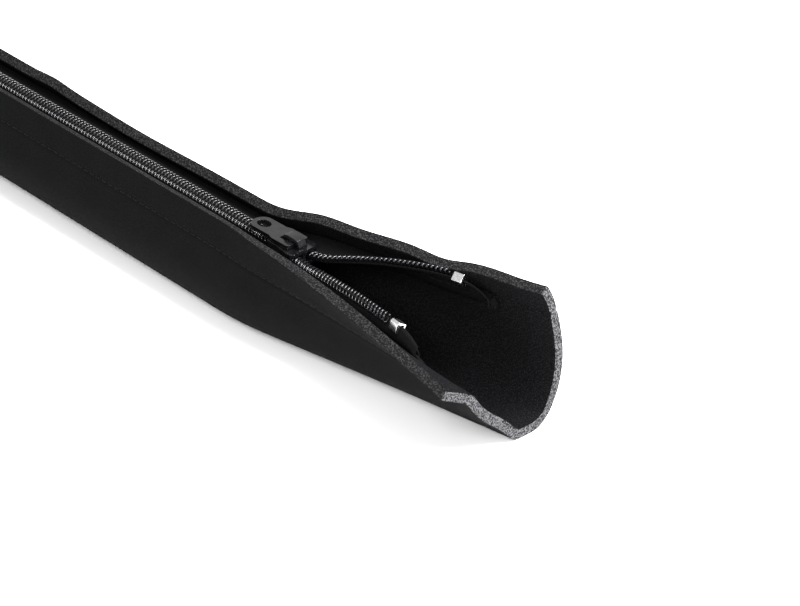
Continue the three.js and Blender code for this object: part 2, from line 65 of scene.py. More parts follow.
# Angle of the sheet at the mouth, from the near cut edge to the far one: distance from the near
# edge, and direction of travel above +Y in degrees.
MOUTH_BENDS = [
    (0, -22),
    (8, -30),
    (11, -58),
    (24, -39),
    (34, -50),
    (38, 0),
    (41, 0),
    (49.5, 63.5),
    (56.5, 77),
    (68.5, 96),
    (80, 100),
    (88, 119),
]
NEAR_SHARE = 0.449  # share of the sheet's width on the near side of its lowest line
NEAR_REST = 1.8  # flat strip that the soft roll settles on, on each side of that line
FAR_REST = 7.2
OPENING_START = -29  # stations are measured from the slider's front end
OPENING_EASE = 12
OPENING_CURVE = 0.93  # under 1, the roll opens faster at the mouth than behind the slider
BEND_START = -26
BEND_EASE = 20
SEWN_GAP = 0.12  # between layers that are sewn together
LIP_CLEARANCE = 0.4  # between the slider and the sheet's edges
SLIDER_LENGTH = 12.5
SLIDER_HALF_WIDTH = 5
STOP_LENGTH = 3.4
TAIL_LENGTH = 8  # tape left beyond each top stop
TAPE_BELOW_SEAM = 4
TAPE_END_INSET = 8  # the tapes start this far inside the closed end
HALF_TAPE_GAP = 0.9
CHAIN_DEPTH = 1.2  # from the near lip down to the chain
COIL_HALF_WIDTH = 2.9
COIL_OVERLAP = 0.35  # how far each coil reaches past the middle into the other one
BOTTOM_STOP_FRONT = 26  # from the closed end
FIT_GAP = 0.3
COIL_END_GAP = 0.7
# The two woven edges part inside the slider, then turn towards their stops.
PARTING_START = 1.5 - SLIDER_LENGTH
PARTING_EASE = 6
PARTING_SLOPE = 0.17
FREE_EASE = 8
FREE_CURVE = 1.6
# Place of each woven edge at its stop, across and up, and its lean in degrees.
EDGE_AT_STOP = {-1: (-7.4, 31.7, 62), 1: (14.5, 36.7, 46)}
SIDE_NAMES = {-1: "near", 1: "far"}
LIP_WAVE_FROM = 58  # width at which the waves of the far edge begin
# Waves of the far edge: station, half length and height.
LIP_WAVES = [(41, 9, -1.7), (-3, 11, 1.5), (-85, 28, -1.0), (-128, 7, 0.8), (70, 9, -0.5)]
TAIL_DROOP = 0.04  # per millimetre, how fast the tape bends down beyond its stop
TAPE_FULLNESS = 0.45  # how far the tape's curve follows its seam and its coil before it turns away
TAPE_SPAN_ROWS = 14
STITCH_RADIUS = 0.2
THREAD_RADIUS = 0.15
FRAY_RADIUS = 0.11


class SLEEVE_PG_sizes(bpy.types.PropertyGroup):
    length: FloatProperty(
        name="Length", description="Length of the sheet", default=0.5, unit="LENGTH"
    )
    mouth: FloatProperty(
        name="Mouth",
        description="From the slider's front end to the open mouth",
        default=0.0775,
        unit="LENGTH",
    )
    width: FloatProperty(
        name="Sheet width",
        description="Flat width between the two cut edges",
        default=0.088,
        unit="LENGTH",
    )
    thickness: FloatProperty(
        name="Thickness", description="Foam and both knits", default=0.0031, unit="LENGTH"
    )
    radius: FloatProperty(
        name="Tube radius", description="Outer radius of the closed roll", default=0.0134, unit="LENGTH"
    )
    bend: FloatProperty(
        name="Bend",
        description="Sideways turn of the opened end",
        default=math.radians(8.4),
        subtype="ANGLE",
    )
    seam_depth: FloatProperty(
        name="Seam depth",
        description="From a cut edge down to its seam",
        default=0.008,
        unit="LENGTH",
    )
    stitch: FloatProperty(
        name="Stitch", description="Length of one seam stitch", default=0.003, unit="LENGTH"
    )


class SLEEVE_PG_zip(bpy.types.PropertyGroup):
    tape_thickness: FloatProperty(
        name="Tape thickness",
        description="Thickness of the woven tape",
        default=0.0005,
        unit="LENGTH",
    )
    open_length: FloatProperty(
        name="Open zip",
        description="From the slider's front end to the top stops",
        default=0.047,
        unit="LENGTH",
    )
    pitch: FloatProperty(
        name="Pitch", description="Length of one turn of the coil", default=0.0015, unit="LENGTH"
    )
    height: FloatProperty(
        name="Coil height", description="Height of the coil", default=0.0018, unit="LENGTH"
    )
    wire: FloatProperty(
        name="Wire", description="Radius of the nylon wire", default=0.00034, unit="LENGTH"
    )


class SLEEVE_PG_colours(bpy.types.PropertyGroup):
    knit: FloatVectorProperty(
        name="Knit",
        description="Outer knit, sRGB",
        default=(0.025, 0.025, 0.027),
        subtype="COLOR_GAMMA",
    )
    lining: FloatVectorProperty(
        name="Lining",
        description="Inner knit, sRGB",
        default=(0.02, 0.02, 0.022),
        subtype="COLOR_GAMMA",
    )
    foam: FloatVectorProperty(
        name="Foam",
        description="Cut foam edge, sRGB",
        default=(0.075, 0.075, 0.077),
        subtype="COLOR_GAMMA",
    )
    tape: FloatVectorProperty(
        name="Tape",
        description="Woven tape, sRGB",
        default=(0.02, 0.02, 0.022),
        subtype="COLOR_GAMMA",
    )


def ramp(s, start, ease):
    """Zero before start, a parabola over ease, then a straight line of slope one."""
    d = np.maximum(0, s - start)
    return np.where(d < ease, d * d / (2 * ease), d - ease / 2)


class Roll:
    """The sheet's middle surface, over stations along the sleeve and widths from the near edge."""

    WIDTH_STEP = 0.5

    def __init__(self, sizes):
        self.thickness = sizes.thickness / MM
        self.width = sizes.width / MM
        self.mouth = sizes.mouth / MM
        self.closed_end = self.mouth - sizes.length / MM
        self.seam_depth = sizes.seam_depth / MM
        self.mid_radius = sizes.radius / MM - self.thickness / 2
        straight = np.linspace(self.closed_end, OPENING_START, 80, endpoint=False)
        opened = np.linspace(OPENING_START, self.mouth, 2 * round(self.mouth - OPENING_START) + 1)
        self.s = np.append(straight, opened)
        self.w = np.linspace(0, self.width, round(self.width / self.WIDTH_STEP) + 1)
        self.rest_index = round(NEAR_SHARE * (len(self.w) - 1))
        self.walk(sizes.bend)

    def half_roll(self, width, rest):
        """Lean and length of one closed flank, which leans in until only the slider's room is left."""
        room = SLIDER_HALF_WIDTH + LIP_CLEARANCE
        lean = 0
        step = math.radians(60) / 2
        while step > 1e-7:
            tried = lean + step
            flank = width - rest - self.mid_radius * (math.pi / 2 + tried)
            inner = self.mid_radius - self.thickness / 2
            reach = rest + inner * math.cos(tried) - flank * math.sin(tried)
            if flank > 0 and reach > room:
                lean = tried
            step /= 2
        return lean, width - rest - self.mid_radius * (math.pi / 2 + lean)

    def closed_angles(self):
        w = self.w
        rest_at = w[self.rest_index]
        angles = np.zeros(len(w))
        for side, part, width, rest, from_edge in (
            (-1, w < rest_at, rest_at, NEAR_REST, w),
            (1, w >= rest_at, self.width - rest_at, FAR_REST, self.width - w),
        ):
            lean, flank = self.half_roll(width, rest)
            turned = np.minimum(np.maximum(0, from_edge - flank) / self.mid_radius, math.pi / 2 + lean)
            angles[part] = side * (math.pi / 2 + lean - turned[part])
        return angles

    def opening(self, s):
        """How far the roll has opened: 0 where the zip is closed, 1 at the mouth."""
        full = ramp(np.array(self.mouth), OPENING_START, OPENING_EASE)
        share = np.minimum(1, ramp(s, OPENING_START, OPENING_EASE) / full)
        return 1 - (1 - share) ** OPENING_CURVE

    def walk(self, bend):
        w = self.w
        closed = self.closed_angles()
        at, angle = zip(*MOUTH_BENDS)
        opened = np.radians(np.interp(w, at, angle))
        share = self.opening(self.s)[:, None]
        angles = closed * (1 - share) + opened * share
        step = w[1] - w[0]
        middle = self.rest_index
        between = (angles[:, 1:] + angles[:, :-1]) / 2
        zero = np.zeros((len(self.s), 1))
        y = np.hstack([zero, np.cumsum(step * np.cos(between), 1)])
        z = np.hstack([zero, np.cumsum(step * np.sin(between), 1)])
        side = math.tan(bend) * ramp(self.s, BEND_START, BEND_EASE)[:, None]
        self.y = y - y[:, middle : middle + 1] + side
        self.z = z - z[:, middle : middle + 1] + self.thickness / 2
        self.angle = angles
        self.settle()
        # A fibre of the sheet keeps its length, so one that spreads sideways gets less far along X.
        ds = np.diff(self.s)[:, None]
        sideways = np.diff(self.y, axis=0) ** 2 + np.diff(self.z, axis=0) ** 2
        forward = np.sqrt(np.maximum(0, ds**2 - sideways))
        gone = np.vstack([np.zeros(len(w)), np.cumsum(forward, 0)])
        self.x = ORIGIN_BEHIND + self.closed_end + gone

    def settle(self):
        """The soft far edge rises and sinks a little along the zip."""
        s = self.s[:, None]
        share = np.clip((self.w - LIP_WAVE_FROM) / (self.width - LIP_WAVE_FROM), 0, 1) ** 2
        for at, half_length, height in LIP_WAVES:
            self.z = self.z + height * share * np.exp(-(((s - at) / half_length) ** 2))

    def sample(self, s, w):
        """x, y, z and the angle at stations s and widths w, which are arrays of one shape."""
        s, w = np.broadcast_arrays(np.asarray(s, float), np.asarray(w, float))
        i = np.clip(np.searchsorted(self.s, s, "right") - 1, 0, len(self.s) - 2)
        j = np.clip((w / (self.w[1] - self.w[0])).astype(int), 0, len(self.w) - 2)
        u = (s - self.s[i]) / (self.s[i + 1] - self.s[i])
        v = (w - self.w[j]) / (self.w[1] - self.w[0])
        found = []
        for table in (self.x, self.y, self.z, self.angle):
            low = table[i, j] * (1 - v) + table[i, j + 1] * v
            high = table[i + 1, j] * (1 - v) + table[i + 1, j + 1] * v
            found.append(low * (1 - u) + high * u)
        return found

    def point(self, s, w, lift=0):
        """Places on the sheet, lifted outwards from its middle surface."""
        x, y, z, a = self.sample(s, w)
        return np.stack([x, y + lift * np.sin(a), z - lift * np.cos(a)], -1)

    def seam(self, side):
        return self.seam_depth if side < 0 else self.width - self.seam_depth


class Chain:
    """The woven edge of each tape, which carries its coil, and the tape from its seam to there."""

    def __init__(self, roll, zipper):
        self.roll = roll
        self.tape = zipper.tape_thickness / MM
        self.open_zip = zipper.open_length / MM
        self.height = zipper.height / MM
        lip = roll.point(roll.closed_end, 0, -roll.thickness / 2)
        self.level = lip[2] - CHAIN_DEPTH - self.height - SEWN_GAP - self.tape / 2

    def parting(self, s, side):
        return side * (HALF_TAPE_GAP + PARTING_SLOPE * ramp(s, PARTING_START, PARTING_EASE))

    def edge(self, s, side):
        """x, y, z and lean of the woven edge: level while closed, standing up as the zip opens."""
        s = np.asarray(s, float)
        end_y, end_z, end_lean = EDGE_AT_STOP[side]
        full = ramp(np.array(self.open_zip + STOP_LENGTH), 0, FREE_EASE)
        turned = 1 - (1 - np.minimum(1, ramp(s, 0, FREE_EASE) / full)) ** FREE_CURVE
        x = self.roll.sample(s, self.roll.seam(side))[0]
        parted = self.parting(s, side)
        y = parted + (end_y - self.parting(np.array(self.open_zip), side)) * turned
        beyond = np.maximum(0, s - self.open_zip - STOP_LENGTH)
        z = self.level + (end_z - self.level) * turned - TAIL_DROOP * beyond**2
        return x, y, z, np.radians(end_lean * turned)

    def point(self, s, side, back, rise):
        """A point of the coil's own frame: back from the woven edge, rise above it."""
        x, y, z, lean = self.edge(s, side)
        return np.stack(
            [
                x,
                y + side * (back * np.cos(lean) + rise * np.sin(lean)),
                z - back * np.sin(lean) + rise * np.cos(lean),
            ],
            -1,
        )

    def tape_rows(self, s, side):
        """The tape's middle line at each station: up to its seam, then over to its coil."""
        roll = self.roll
        inner = -(roll.thickness / 2 + SEWN_GAP + self.tape / 2 + SEWN_GAP)
        seam = roll.seam(side)
        low = roll.point(s, seam - side * TAPE_BELOW_SEAM, inner)[:, 1:]
        halfway = roll.point(s, seam - side * TAPE_BELOW_SEAM / 2, inner)[:, 1:]
        at_seam = roll.point(s, seam, inner)[:, 1:]
        x, y, z, lean = self.edge(s, side)
        towards = np.stack([-side * np.cos(lean), np.sin(lean)], -1)
        edge = np.stack([y, z], -1)
        under = edge - (COIL_HALF_WIDTH - HALF_TAPE_GAP) * towards
        reach = np.linalg.norm(at_seam - under, axis=1)[:, None] * TAPE_FULLNESS
        rise = at_seam - halfway
        rise /= np.linalg.norm(rise, axis=1)[:, None]
        a, b, c, d = at_seam, at_seam + rise * reach, under - towards * reach, under
        rows = [low, halfway]
        for t in np.linspace(0, 1, TAPE_SPAN_ROWS):
            left = 1 - t
            rows.append(left**3 * a + 3 * left**2 * t * b + 3 * left * t * t * c + t**3 * d)
        rows.append((under + edge) / 2)
        rows.append(edge)
        yz = np.stack(rows, 1)
        return np.concatenate([np.repeat(x[:, None, None], yz.shape[1], 1), yz], -1)


def grid_mesh(name, places, uv=None):
    """A grid of quads with its vertices at places, an array of rows by columns of points."""
    rows, columns = places.shape[:2]
    bm = bmesh.new()
    layer = bm.loops.layers.uv.new("UVMap")
    bmesh.ops.create_grid(bm, x_segments=rows - 1, y_segments=columns - 1, size=0.5)
    for face in bm.faces:
        for loop in face.loops:
            i = round((loop.vert.co.x + 0.5) * (rows - 1))
            j = round((loop.vert.co.y + 0.5) * (columns - 1))
            loop[layer].uv = (uv[0][i], uv[1][j]) if uv else (i / rows, j / columns)
    for vert in bm.verts:
        i = round((vert.co.x + 0.5) * (rows - 1))
        j = round((vert.co.y + 0.5) * (columns - 1))
        vert.co = places[i, j] * MM
    return bm


ASKEW = [0.3, 0.5, 0.8]  # a direction along which no wire or thread runs


def tube_into(bm, centres, radius, sides=6):
    """Adds a tube along centres, an array of points in millimetres."""
    n = len(centres)
    run = np.gradient(centres, axis=0)
    run /= np.linalg.norm(run, axis=1)[:, None]
    normal = np.cross(run[0], ASKEW)
    frames = []
    for direction in run:
        normal = normal - direction * np.dot(normal, direction)
        normal /= np.linalg.norm(normal)
        frames.append((normal, np.cross(direction, normal)))
    widths = np.broadcast_to(np.asarray(radius, float), n)
    made = bmesh.ops.create_grid(bm, x_segments=n - 1, y_segments=sides, size=0.5)["verts"]
    for vert in made:
        i = round((vert.co.x + 0.5) * (n - 1))
        turn = 2 * math.pi * round((vert.co.y + 0.5) * sides) / sides
        a, b = frames[i]
        vert.co = (centres[i] + widths[i] * (math.cos(turn) * a + math.sin(turn) * b)) * MM
    bmesh.ops.remove_doubles(bm, verts=made, dist=1e-7)


def finish_tubes(bm):
    """Closes the ends of all the tubes in a bmesh and turns their faces outwards."""
    open_edges = [edge for edge in bm.edges if edge.is_boundary]
    bmesh.ops.holes_fill(bm, edges=open_edges, sides=12)
    bmesh.ops.recalc_face_normals(bm, faces=bm.faces)


def piece_of(name, bm, materials, smooth=True):
    mesh = bpy.data.meshes.new(name)
    bm.to_mesh(mesh)
    bm.free()
    for finish in materials:
        mesh.materials.append(finish)
    mesh.polygons.foreach_set("use_smooth", [smooth] * len(mesh.polygons))
    made = bpy.data.objects.new(name, mesh)
    bpy.context.scene.collection.objects.link(made)
    return made


def bevelled(piece, width, segments=2, angle=35):
    bevel = piece.modifiers.new("Bevel", "BEVEL")
    bevel.width = width * MM
    bevel.segments = segments
    bevel.profile = 0.5
    bevel.material = -1
    bevel.limit_method = "ANGLE"
    bevel.angle_limit = math.radians(angle)
    weighted = piece.modifiers.new("Weighted Normal", "WEIGHTED_NORMAL")
    weighted.keep_sharp = True


def linear(srgb):
    """sRGB values from 0 to 1, or a hex string, as linear RGBA."""
    if isinstance(srgb, str):
        srgb = [int(srgb[k : k + 2], 16) / 255 for k in (0, 2, 4)]
    parts = [c / 12.92 if c <= 0.04045 else ((c + 0.055) / 1.055) ** 2.4 for c in srgb]
    return (*parts, 1.0)


def node(tree, kind, inputs=None, **settings):
    """Adds a node. An input is a value, or the output socket that feeds it."""
    made = tree.nodes.new(kind)
    for name, value in settings.items():
        setattr(made, name, value)
    for name, value in (inputs or {}).items():
        if isinstance(value, bpy.types.NodeSocket):
            tree.links.new(value, made.inputs[name])
        else:
            made.inputs[name].default_value = value
    return made


def material(name, **shader_values):
    made = bpy.data.materials.get(name)
    if made:
        bpy.data.materials.remove(made)
    made = bpy.data.materials.new(name)
    made.use_nodes = True
    shader = made.node_tree.nodes["Principled BSDF"]
    for key, value in shader_values.items():
        shader.inputs[key.replace("_", " ")].default_value = value
    return made, made.node_tree, shader


def speckle(tree, vector, millimetres, detail=2.0):
    """Noise with grains of about that size, on coordinates in metres."""
    inputs = {"Vector": vector, "Scale": 1 / (millimetres * MM), "Detail": detail}
    return node(tree, "ShaderNodeTexNoise", inputs).outputs["Fac"]


def bands(tree, vector, millimetres, direction):
    """Ripples of that spacing, on coordinates in metres."""
    # The wave node takes 20 radians for each unit along one axis, and 10 along the diagonal.
    periods = 0.1 if direction == "DIAGONAL" else 0.05
    scale = 2 * math.pi * periods / (millimetres * MM)
    inputs = {"Vector": vector, "Scale": scale}
    return node(tree, "ShaderNodeTexWave", inputs, bands_direction=direction).outputs["Fac"]


def tones(tree, factor, steps):
    """A ramp of (position, sRGB colour) steps."""
    made = node(tree, "ShaderNodeValToRGB", {"Fac": factor})
    points = made.color_ramp.elements
    while len(points) < len(steps):
        points.new(0.5)
    for point, (position, colour) in zip(points, steps):
        point.position = position
        point.color = linear(colour)
    return made.outputs["Color"]


# Sockets of the Mix node that carry colours.
MIX_A = 6
MIX_B = 7
MIX_RESULT = 2


def mixed(tree, factor, first, second):
    """The first colour where factor is 0, the second where it is 1."""
    inputs = {"Factor": factor, MIX_A: first, MIX_B: second}
    return node(tree, "ShaderNodeMix", inputs, data_type="RGBA").outputs[MIX_RESULT]


def step_up(tree, value, low, high):
    """0 below low, 1 above high and a straight line between."""
    inputs = {"Value": value, "From Min": low, "From Max": high}
    return node(tree, "ShaderNodeMapRange", inputs).outputs["Result"]


def uv_of(tree):
    """Coordinates along and across a sheet, in metres."""
    return node(tree, "ShaderNodeUVMap", uv_map="UVMap").outputs["UV"]


def place_of(tree):
    return node(tree, "ShaderNodeTexCoord").outputs["Object"]


def scaled(colour, factor):
    """A colour made lighter or darker."""
    return [min(1, c * factor) for c in colour]


def bump(tree, shader, height, millimetres, strength=1.0):
    inputs = {"Height": height, "Distance": millimetres * MM, "Strength": strength}
    made = node(tree, "ShaderNodeBump", inputs)
    tree.links.new(made.outputs["Normal"], shader.inputs["Normal"])


def knit_material(name, base, fleck, fleck_from):
    """Polyester jersey laminated on foam: dull black cloth. Its loops show as fine rows, and
    single light fibres as flecks."""
    made, tree, shader = material(name, Roughness=0.9, Specular_IOR_Level=0.06)
    uv = uv_of(tree)
    cloud = speckle(tree, uv, 9, 3)
    grains = speckle(tree, uv, 0.35, 1)
    rows = bands(tree, uv, 0.5, "Y")
    cloth = tones(tree, cloud, [(0.3, scaled(base, 0.85)), (0.7, scaled(base, 1.15))])
    colour = mixed(tree, step_up(tree, grains, fleck_from, fleck_from + 0.12), cloth, linear(fleck))
    tree.links.new(colour, shader.inputs["Base Color"])
    height = node(tree, "ShaderNodeMath", {0: rows, 1: grains}, operation="ADD").outputs[0]
    bump(tree, shader, height, 0.08, 0.5)
    return made


def foam_material(base, mouth):
    """Closed-cell rubber foam, cut with a blade: grey, dull, and pitted with fine dark cells. The long
    cut edges keep the foam's grey.
    The cut across the end is painted lighter: painted light on the end face, which turns towards the
    key lamp."""
    made, tree, shader = material("cut_rubber_foam", Roughness=0.9, Specular_IOR_Level=0.1)
    along = node(tree, "ShaderNodeSeparateXYZ", {"Vector": uv_of(tree)}).outputs["X"]
    # Painted light: this mask picks the cut across the mouth end, which is drawn lighter where the key
    # lamp falls on it.
    painted_light_on_end = step_up(tree, along, mouth - 0.6 * MM, mouth - 0.3 * MM)
    cells = speckle(tree, place_of(tree), 0.42, 1)
    long_edge_tones = [(0.4, scaled(base, 0.4)), (0.53, base), (0.64, scaled(base, 2.4))]
    # Painted light: the end's tones run about three times the foam's grey, a lit copy of the long
    # edges' tones.
    cut = [(0.4, scaled(base, 1.2)), (0.5, scaled(base, 3.2)), (0.6, scaled(base, 5.0))]
    colour = mixed(tree, painted_light_on_end, tones(tree, cells, long_edge_tones), tones(tree, cells, cut))
    tree.links.new(colour, shader.inputs["Base Color"])
    bump(tree, shader, cells, 0.25, 0.9)
    return made


def tape_material(base):
    """Polyester tape, woven in a fine twill: dull black, with slanting ribs."""
    made, tree, shader = material("woven_polyester_tape", Roughness=0.85, Specular_IOR_Level=0.1)
    ribs = bands(tree, uv_of(tree), 0.6, "DIAGONAL")
    colour = tones(tree, ribs, [(0.2, scaled(base, 0.6)), (0.9, scaled(base, 1.3))])
    tree.links.new(colour, shader.inputs["Base Color"])
    bump(tree, shader, ribs, 0.1, 0.8)
    return made


def nylon_material():
    """Nylon monofilament, drawn and heat set: black, smooth and glossy, so that each turn
    carries a highlight."""
    made, tree, shader = material("drawn_nylon_wire", Roughness=0.14, IOR=1.53)
    cloud = speckle(tree, place_of(tree), 0.8)
    colour = tones(tree, cloud, [(0.35, "08080a"), (0.65, "131316")])
    tree.links.new(colour, shader.inputs["Base Color"])
    return made


def thread_material():
    """Spun polyester sewing thread: black, dull and slightly hairy."""
    made, tree, shader = material("spun_polyester_thread", Roughness=0.7, Specular_IOR_Level=0.12)
    strands = speckle(tree, place_of(tree), 0.2)
    colour = tones(tree, strands, [(0.35, "040405"), (0.65, "0e0e10")])
    tree.links.new(colour, shader.inputs["Base Color"])
    return made


def paint_material():
    """Zinc die casting, sprayed with black enamel: a smooth gloss with a slight orange peel."""
    made, tree, shader = material("black_enamelled_zinc", Roughness=0.16, IOR=1.52)
    cloud = speckle(tree, place_of(tree), 1.5)
    colour = tones(tree, cloud, [(0.35, "09090a"), (0.65, "111113")])
    tree.links.new(colour, shader.inputs["Base Color"])
    bump(tree, shader, cloud, 0.04, 0.5)
    return made


def bright_material():
    """Aluminium wire, pressed and tumbled: bright, with fine dull dents."""
    made, tree, shader = material("tumbled_aluminium", Metallic=1.0, Roughness=0.22)
    dents = speckle(tree, place_of(tree), 0.5)
    colour = tones(tree, dents, [(0.35, "cfcfd0"), (0.65, "ececed")])
    tree.links.new(colour, shader.inputs["Base Color"])
    bump(tree, shader, dents, 0.015, 0.3)
    return made


def settings():
    scene = bpy.context.scene
    roll = Roll(scene.sleeve_sizes)
    return scene, roll, Chain(roll, scene.sleeve_zip)


class SLEEVE_OT_sheet(bpy.types.Operator):
    """Rolls the foam sheet, with its cut edges and the pinched lines of its two seams"""

    bl_idname = "cable_sleeve.sheet"
    bl_label = "Foam sheet"

    SEAM_LINES = (-1.4, -0.9, -0.45, 0, 0.45, 0.9, 1.4)  # mesh lines that carry the groove of a seam
    LINE_SPACE = 0.45  # the even lines keep this far from them
    EVEN_LINES = 81
    GROOVE = 0.2  # how far a seam presses the foam down, as a share of its thickness
    HOLE = 0.12  # more of it at each needle hole
    GROOVE_HALF_WIDTH = 0.6

    def execute(self, context):
        scene, roll, chain = settings()
        sizes = scene.sleeve_sizes
        colours = scene.sleeve_colours
        along = np.linspace(roll.closed_end, roll.mouth, round(2 * sizes.length / sizes.stitch) + 1)
        near_seam = [roll.seam_depth + d for d in self.SEAM_LINES]
        seams = near_seam + [roll.width - w for w in near_seam]
        even = np.linspace(0, roll.width, self.EVEN_LINES)
        kept = [w for w in even if min(abs(w - v) for v in seams) > self.LINE_SPACE]
        across = np.array(sorted(kept + seams))
        s, w = np.meshgrid(along, across, indexing="ij")
        bm = grid_mesh("sheet", roll.point(s, w), (along * MM, across * MM))
        bmesh.ops.reverse_faces(bm, faces=bm.faces)
        knit = list(colours.knit)
        faces = [
            knit_material("outer_polyester_jersey", knit, scaled(knit, 1.8), 0.66),
            knit_material("inner_polyester_jersey", list(colours.lining), "222225", 0.54),
            foam_material(list(colours.foam), roll.mouth * MM),
        ]
        sheet = piece_of("rolled_foam_sheet", bm, faces)
        self.pinch_seams(sheet, roll, sizes.stitch)
        solid = sheet.modifiers.new("Solidify", "SOLIDIFY")
        solid.thickness = roll.thickness * MM
        solid.offset = 0
        solid.vertex_group = "thickness"
        solid.material_offset = 1
        solid.material_offset_rim = 2
        bevelled(sheet, 0.3, 2, 50)
        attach(sheet, "sleeve")
        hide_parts("neoprene_sleeve")
        return {"FINISHED"}

    def pinch_seams(self, sheet, roll, stitch):
        """Thins the sheet along its two seams, most at the needle holes."""
        pinch = sheet.vertex_groups.new(name="thickness")
        uv = {}
        for loop in sheet.data.loops:
            uv[loop.vertex_index] = sheet.data.uv_layers[0].data[loop.index].uv
        for index, (u, v) in uv.items():
            off = min(abs(v / MM - roll.seam(-1)), abs(v / MM - roll.seam(1)))
            hole = 0.5 + 0.5 * math.cos(2 * math.pi * u / stitch)
            depth = (self.GROOVE + self.HOLE * hole) * math.exp(-((off / self.GROOVE_HALF_WIDTH) ** 2))
            pinch.add([index], 1 - depth, "REPLACE")


class SLEEVE_OT_tapes(bpy.types.Operator):
    """Weaves the two zip tapes, each with its tail beyond the top stop"""

    bl_idname = "cable_sleeve.tapes"
    bl_label = "Zip tapes"

    def execute(self, context):
        scene, roll, chain = settings()
        woven = tape_material(list(scene.sleeve_colours.tape))
        straight = np.linspace(roll.closed_end + TAPE_END_INSET, OPENING_START, 60, endpoint=False)
        opened = np.arange(OPENING_START, chain.open_zip + STOP_LENGTH + TAIL_LENGTH + 0.5)
        along = np.append(straight, opened)
        for side, name in SIDE_NAMES.items():
            rows = chain.tape_rows(along, side)
            lengths = np.linalg.norm(np.diff(rows[0], axis=0), axis=1)
            across = np.append(0, np.cumsum(lengths))
            bm = grid_mesh(name, rows, (along * MM, across * MM))
            tape = piece_of("woven_tape_" + name, bm, [woven])
            solid = tape.modifiers.new("Solidify", "SOLIDIFY")
            solid.thickness = chain.tape * MM
            solid.offset = 0
            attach(tape, "sleeve")
            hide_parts("zip_tape_" + name)
        return {"FINISHED"}


class SLEEVE_OT_coils(bpy.types.Operator):
    """Winds the two nylon coils, turn by turn, and sews each to its tape"""

    bl_idname = "cable_sleeve.coils"
    bl_label = "Nylon coils"

    RINGS = 14  # points of the wire in each turn
    SLANT = 0.6  # share of the pitch by which a turn gains and loses ground at its head and heel
    FLATNESS = 0.8  # under 1, the turn is squarer than a circle
    THREAD_SINK = 0.12  # how deep the sewing thread lies between the turns
    THREAD_RIPPLE = 0.08

    def execute(self, context):
        scene, roll, chain = settings()
        pitch = scene.sleeve_zip.pitch / MM
        wire = scene.sleeve_zip.wire / MM
        nylon = nylon_material()
        thread = thread_material()
        foot = chain.tape / 2 + SEWN_GAP
        head = -HALF_TAPE_GAP - COIL_OVERLAP + wire
        heel = COIL_HALF_WIDTH - HALF_TAPE_GAP - wire
        for side, name in SIDE_NAMES.items():
            start = roll.closed_end + BOTTOM_STOP_FRONT + FIT_GAP + (pitch / 2 if side > 0 else 0)
            turns = math.floor((chain.open_zip - COIL_END_GAP - start) / pitch)
            u = np.arange(turns * self.RINGS + 1) / self.RINGS
            phase = 2 * math.pi * u
            s = start + pitch * (u - self.SLANT * np.sin(phase) / (2 * math.pi))
            bow = np.abs(np.sin(phase)) ** self.FLATNESS * np.sign(np.sin(phase))
            back = (head + heel) / 2 - (heel - head) / 2 * np.cos(phase)
            rise = foot + chain.height / 2 + (chain.height / 2 - wire) * bow
            bm = bmesh.new()
            tube_into(bm, chain.point(s, side, back, rise), wire)
            finish_tubes(bm)
            coil = piece_of("nylon_coil_" + name, bm, [nylon])
            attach(coil, "sleeve")
            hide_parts("coil_" + name)
            s = np.arange(start, start + turns * pitch, pitch / 4)
            ripple = self.THREAD_RIPPLE * np.cos(2 * math.pi * (s - start) / pitch - math.pi / 2)
            rise = foot + chain.height - self.THREAD_SINK + ripple
            bm = bmesh.new()
            tube_into(bm, chain.point(s, side, (head + heel) / 2, rise), THREAD_RADIUS, 5)
            finish_tubes(bm)
            sewn = piece_of("coil_sewing_thread_" + name, bm, [thread])
            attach(sewn, "sleeve")
        return {"FINISHED"}


